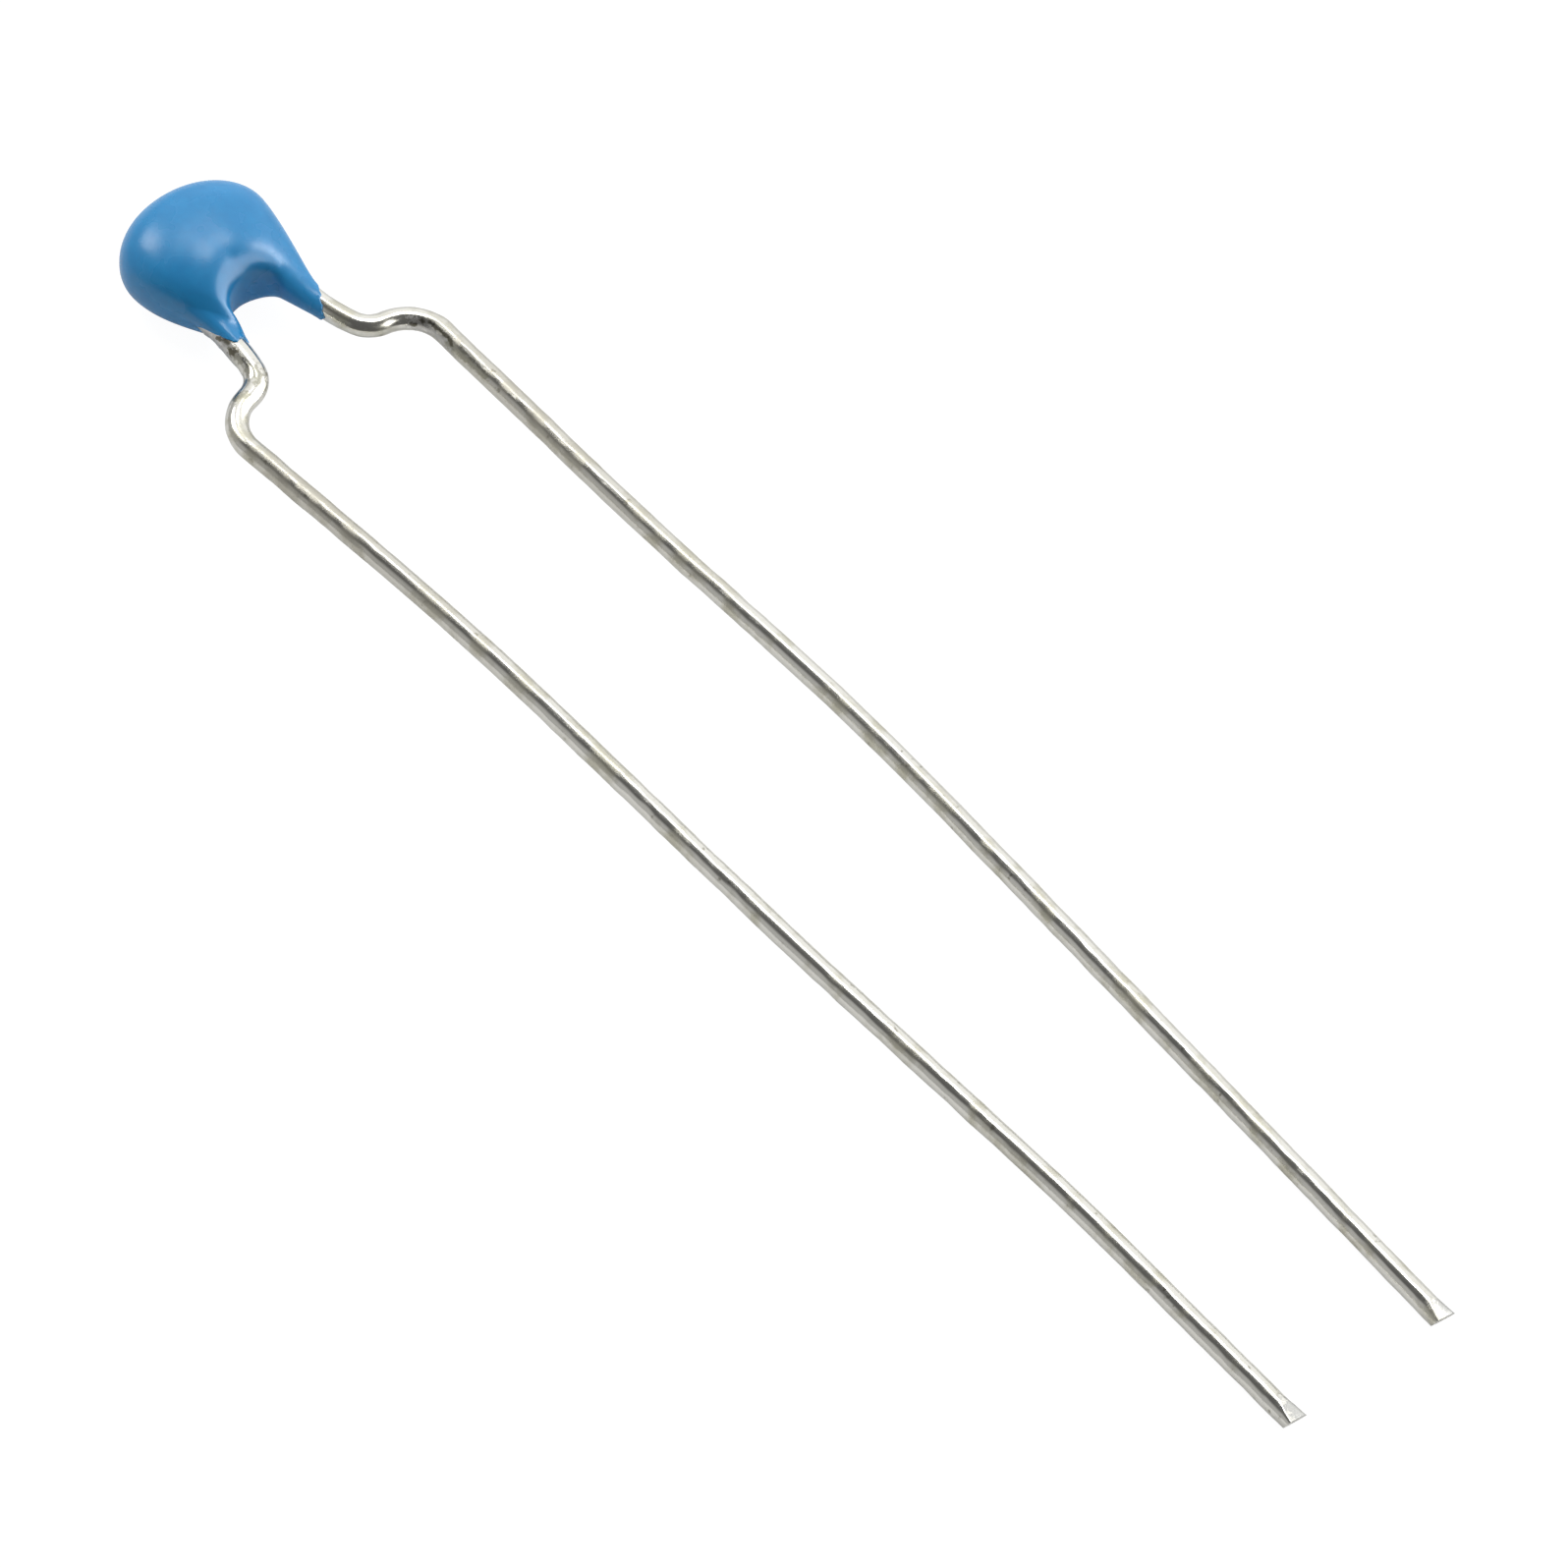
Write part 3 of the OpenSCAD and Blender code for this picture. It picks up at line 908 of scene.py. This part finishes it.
def ragged(side, angle):
    """How far the skin's end runs ahead of its mean line at an angle round the wire."""
    spot = Vector((cos(angle), sin(angle), RAGGED_SHIFT * side))
    reach = RAGGED_REACH * lumps(spot, RAGGED_LUMPS)
    if side == LEFT:
        reach += TONGUE_REACH * exp(-(((angle - TONGUE_AT) / TONGUE_SPREAD) ** 2))
    return reach


def coat_section(station):
    """A rounded oval that spans from the crotch's edge to the outline's edge."""
    side = LEFT if station < 0 else RIGHT
    u = abs(station)
    outer, inner = outline_edge(side, u), crotch_edge(side, u)
    half = mix(COAT_THICKNESS / 2, WIRE_RADIUS + COAT_FILM, rise(u, THIN_FROM))
    section = []
    for index in range(COAT_POINTS):
        angle = 2 * pi * index / COAT_POINTS
        fullness = OUTER_FULLNESS if cos(angle) > 0 else INNER_FULLNESS
        spot = oval(angle, mix(fullness, 2, rise(u, ROUND_FROM)))
        point = (outer + inner) / 2 + (outer - inner) / 2 * spot.x
        point.z = half * spot.y
        point += wire_near(side, point.x)[1] * ragged(side, angle) * rise(u, RAGGED_FROM)
        spoke = spoke_to(side, point)[2]
        lack = WIRE_RADIUS + COAT_FILM - spoke.length
        if u > FILM_FROM and lack > 0:
            point += spoke.normalized() * lack
        section.append(point)
    return section


def leg_lip(side, section):
    """The rings that close a leg's end, from its last section to inside the wire."""
    rings = []
    for forward, film in LIP_STEPS:
        ring = []
        for point in section:
            centre, along, spoke = spoke_to(side, point)
            ring.append(
                centre + spoke.normalized() * (WIRE_RADIUS + film) + along * forward
                + along * (point - centre).dot(along)
            )
        rings.append(ring)
    return rings


def draw_coating():
    """A ring drawn out along the arch, from the left leg over the dome to the right leg."""
    skin = [
        coat_section(index / COAT_SECTIONS)
        for index in range(-COAT_SECTIONS, COAT_SECTIONS + 1)
    ]
    sections = leg_lip(LEFT, skin[0])[::-1] + skin + leg_lip(RIGHT, skin[-1])
    mesh = bmesh.new()
    place = mesh.verts.layers.int.new("place")
    circle, ring = start_ring(mesh, COAT_POINTS, 1, place)
    first = list(ring)
    for vertex in circle:
        vertex.co = sections[0][vertex[place]]
    for section in sections[1:]:
        fresh, ring = draw_ring(mesh, ring)
        for vertex in fresh:
            vertex.co = section[vertex[place]]
    close_ends(mesh, first, ring)
    return mesh


finish_piece(draw_coating(), "epoxy_coating", make_blue_epoxy(), "coating")

# ---- Studio, in metres --------------------------------------------------------------------

WHITE = (1, 1, 1, 1)
FLOOR_HALF = 3.0
FLOOR_PALE = (0.9, 0.9, 0.9, 1)
# What the camera sees of the floor: its own light, and a faint surface that shows a shadow
FLOOR_FAINT = (0.13, 0.13, 0.13, 1)
FLOOR_GLOW = 0.96
FLOOR_MIRRORED = 0.2  # share of that white that metal and gloss show

AMBIENT = 0.43
AMBIENT_SWING = 0.52  # how much brighter the soft light is on its brightest side
SOFT_SIDE = Vector((-0.69, 0.72, 0))
WALL_SIDE = Vector((-0.766, 0.643, 0))  # the side on which the walls are pale
WALL_TURN = (-0.75, -0.25)
WALL_LEVELS = (0.12, 0.52)
WALL_HEIGHTS = (0.83, 0.50)  # where the walls' light is gone, and where it is full
GLOW_SIDE = Vector((-0.474, 0.703, 0.530))
GLOW_TURN = (0.64, 0.95)
CEILING_LEVEL = 0.12
GLOW_LEVEL = 1.2

# Each is (name, azimuth, elevation, distance, width, height, radiance, lights matt things)
SOFTBOXES = (
    ("back", 138, 64, 0.40, 0.085, 0.11, 7.2, True),
    ("far_left", 184, 44, 0.40, 0.115, 0.17, 6.0, True),
    ("right", 46, 30, 0.40, 0.56, 0.50, 4.3, False),
    ("side", 80, 40, 0.40, 0.12, 0.26, 4.2, True),
)


def mixed_shaders(tree, factor, first, second):
    mixed = add_node(tree, "ShaderNodeMixShader", {0: factor, 1: first, 2: second})
    return mixed.outputs[0]


def mirrored_ray(tree, light_path):
    """1 where a ray comes by way of metal, gloss or glass."""
    return arithmetic(
        tree,
        "MAXIMUM",
        light_path.outputs["Is Glossy Ray"],
        light_path.outputs["Is Transmission Ray"],
    )


def seen_white(tree):
    """How white the floor looks: wholly to the camera, and partly in metal and glass."""
    light_path = add_node(tree, "ShaderNodeLightPath")
    mirrored = arithmetic(
        tree, "MULTIPLY", mirrored_ray(tree, light_path), FLOOR_MIRRORED
    )
    return arithmetic(tree, "MAXIMUM", light_path.outputs["Is Camera Ray"], mirrored)


def make_white_floor():
    material = bpy.data.materials.new("white_floor")
    tree = cleared_tree(material)
    pale = add_node(tree, "ShaderNodeBsdfDiffuse", {"Color": FLOOR_PALE}).outputs[0]
    faint = add_node(tree, "ShaderNodeBsdfDiffuse", {"Color": FLOOR_FAINT}).outputs[0]
    glow = add_node(
        tree, "ShaderNodeEmission", {"Color": WHITE, "Strength": FLOOR_GLOW}
    ).outputs[0]
    white = add_node(tree, "ShaderNodeAddShader", {0: faint, 1: glow}).outputs[0]
    shown = mixed_shaders(tree, seen_white(tree), pale, white)
    add_node(tree, "ShaderNodeOutputMaterial", {"Surface": shown})
    return material


def make_floor():
    mesh = bmesh.new()
    bmesh.ops.create_grid(mesh, x_segments=1, y_segments=1, size=FLOOR_HALF)
    floor = mesh_object(mesh, "floor", make_white_floor())


def world_direction(tree):
    return add_node(tree, "ShaderNodeTexCoord").outputs["Generated"]


def towards(tree, direction, side):
    """How far a direction points to a side: 1 straight at it and -1 straight away."""
    return vector_maths(tree, "DOT_PRODUCT", direction, side, "Value")


def soft_level(tree):
    """Brightness of the soft light that falls on everything."""
    turned = towards(tree, world_direction(tree), SOFT_SIDE)
    swing = arithmetic(tree, "MULTIPLY", turned, AMBIENT_SWING)
    return arithmetic(tree, "MAXIMUM", arithmetic(tree, "ADD", swing, AMBIENT), 0.0)


def room_level(tree):
    """Brightness of the room that metal and gloss show: a dark ceiling over pale walls,
    with a wide glow on the far side."""
    direction = world_direction(tree)
    height = add_node(tree, "ShaderNodeSeparateXYZ", {"Vector": direction}).outputs["Z"]
    pale = contrast(tree, towards(tree, direction, WALL_SIDE), *WALL_TURN)
    walls = arithmetic(
        tree,
        "MULTIPLY",
        scaled(tree, pale, *WALL_LEVELS),
        contrast(tree, height, *WALL_HEIGHTS),
    )
    glow = contrast(tree, towards(tree, direction, GLOW_SIDE), *GLOW_TURN)
    return arithmetic(
        tree, "MAXIMUM", walls, scaled(tree, glow, CEILING_LEVEL, GLOW_LEVEL)
    )


def background(tree, strength):
    made = add_node(
        tree, "ShaderNodeBackground", {"Color": WHITE, "Strength": strength}
    )
    return made.outputs[0]


def make_world():
    world = bpy.data.worlds.new("studio")
    bpy.context.scene.world = world
    tree = cleared_tree(world)
    light_path = add_node(tree, "ShaderNodeLightPath")
    soft = background(tree, soft_level(tree))
    room = background(tree, room_level(tree))
    lit = mixed_shaders(tree, mirrored_ray(tree, light_path), soft, room)
    white = background(tree, 1)
    shown = mixed_shaders(tree, light_path.outputs["Is Camera Ray"], lit, white)
    add_node(tree, "ShaderNodeOutputWorld", {"Surface": shown})


def make_softbox(name, azimuth, elevation, distance, width, height, radiance, lights_matt):
    lamp = bpy.data.lights.new(f"softbox_{name}", "AREA")
    lamp.shape = "RECTANGLE"
    lamp.size = width
    lamp.size_y = height
    lamp.energy = radiance * pi * width * height
    softbox = new_object(f"softbox_{name}", lamp)
    softbox.visible_camera = False
    softbox.visible_diffuse = lights_matt
    stand_on_dome(softbox, azimuth, elevation, distance)


make_floor()
make_world()
for softbox in SOFTBOXES:
    make_softbox(*softbox)

bpy.context.scene.view_settings.view_transform = "Standard"
